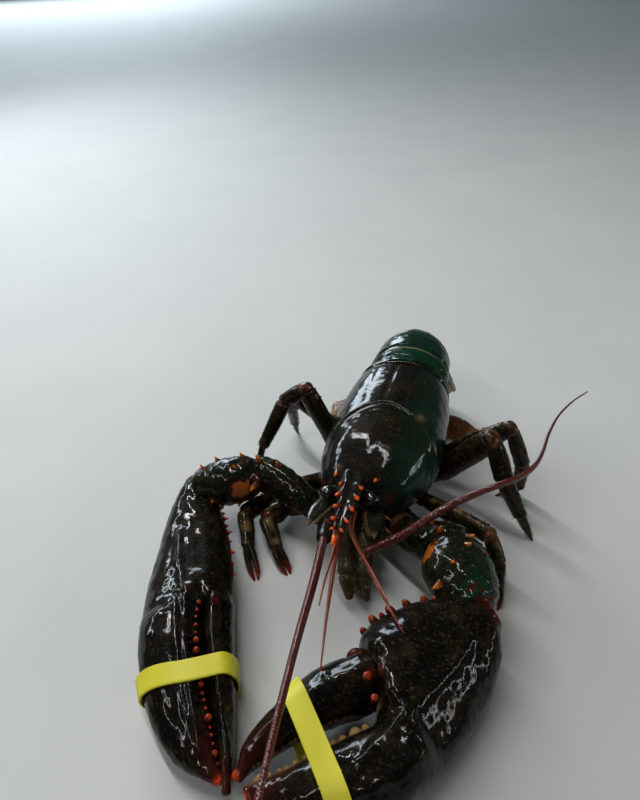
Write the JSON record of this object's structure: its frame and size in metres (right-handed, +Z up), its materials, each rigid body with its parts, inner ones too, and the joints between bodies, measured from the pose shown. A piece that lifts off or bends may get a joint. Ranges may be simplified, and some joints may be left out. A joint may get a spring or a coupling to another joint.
{
  "type": "american lobster",
  "caption": "American lobster at rest, life size: crusher and pincher claws held shut by bands, long feelers, walking legs, and the tail tucked under the body.",
  "frame": {"origin": "middle of the bounding box, on the floor that the lobster rests on", "axes": "+Z up, +Y from the head toward the tail, +X toward the lobster's own left side, which carries the crusher claw"},
  "size_m": [0.2313, 0.4194, 0.078],
  "materials": {
    "back_shell": "wet gloss, olive black with brown mottling",
    "claw_shell": "wet gloss, black brown with orange red spines and tips",
    "face_shell": "wet gloss, olive brown",
    "leg_shell": "wet gloss, dark brown with pinkish orange knees",
    "breast_shell": "semi-gloss, pale orange brown",
    "tail_shell": "wet gloss, dark sea green",
    "tail_fan": "semi-gloss, orange brown with a fringe",
    "eye": "mirror-like gloss",
    "feeler": "semi-gloss, dark red, finely ringed",
    "mouth": "semi-gloss, olive brown with bristles",
    "rubber_band": "plain matte yellow"
  },
  "bodies": {
    "root": {"head": "back_shell", "thorax": "back_shell", "sternum": "breast_shell", "eye_left": "eye", "eye_right": "eye", "feeler_base_left": "face_shell", "feeler_base_right": "face_shell", "feeler_left_near": "feeler", "feeler_left_far": "feeler", "antennule_left": "feeler", "feeler_right_near": "feeler", "feeler_right_far": "feeler", "antennule_right": "feeler", "jaw_leg_left": "mouth", "jaw_leg_right": "mouth", "pincher_hip": "leg_shell", "pincher_upper_arm": "claw_shell", "pincher_wrist": "claw_shell", "pincher_palm": "claw_shell", "pincher_finger": "claw_shell", "band_pincher": "rubber_band", "crusher_hip": "leg_shell", "crusher_upper_arm": "claw_shell", "crusher_wrist": "claw_shell", "crusher_palm": "claw_shell", "crusher_finger": "claw_shell", "band_crusher": "rubber_band", "leg_left_2_upper": "leg_shell", "leg_left_2_lower": "leg_shell", "leg_left_3_upper": "leg_shell", "leg_left_3_lower": "leg_shell", "leg_left_4_upper": "leg_shell", "leg_left_4_lower": "leg_shell", "leg_left_5_upper": "leg_shell", "leg_left_5_lower": "leg_shell", "leg_right_2_upper": "leg_shell", "leg_right_2_lower": "leg_shell", "leg_right_3_upper": "leg_shell", "leg_right_3_lower": "leg_shell", "leg_right_4_upper": "leg_shell", "leg_right_4_lower": "leg_shell", "leg_right_5_upper": "leg_shell", "leg_right_5_lower": "leg_shell", "tail_ring_1": "tail_shell", "tail_ring_2": "tail_shell", "tail_ring_3": "tail_shell", "tail_ring_4": "tail_shell", "tail_ring_5": "tail_shell", "tail_ring_6": "tail_shell", "telson": "tail_fan", "fan_inner_left": "tail_fan", "fan_outer_left": "tail_fan", "fan_inner_right": "tail_fan", "fan_outer_right": "tail_fan"}
  },
  "joints": []
}
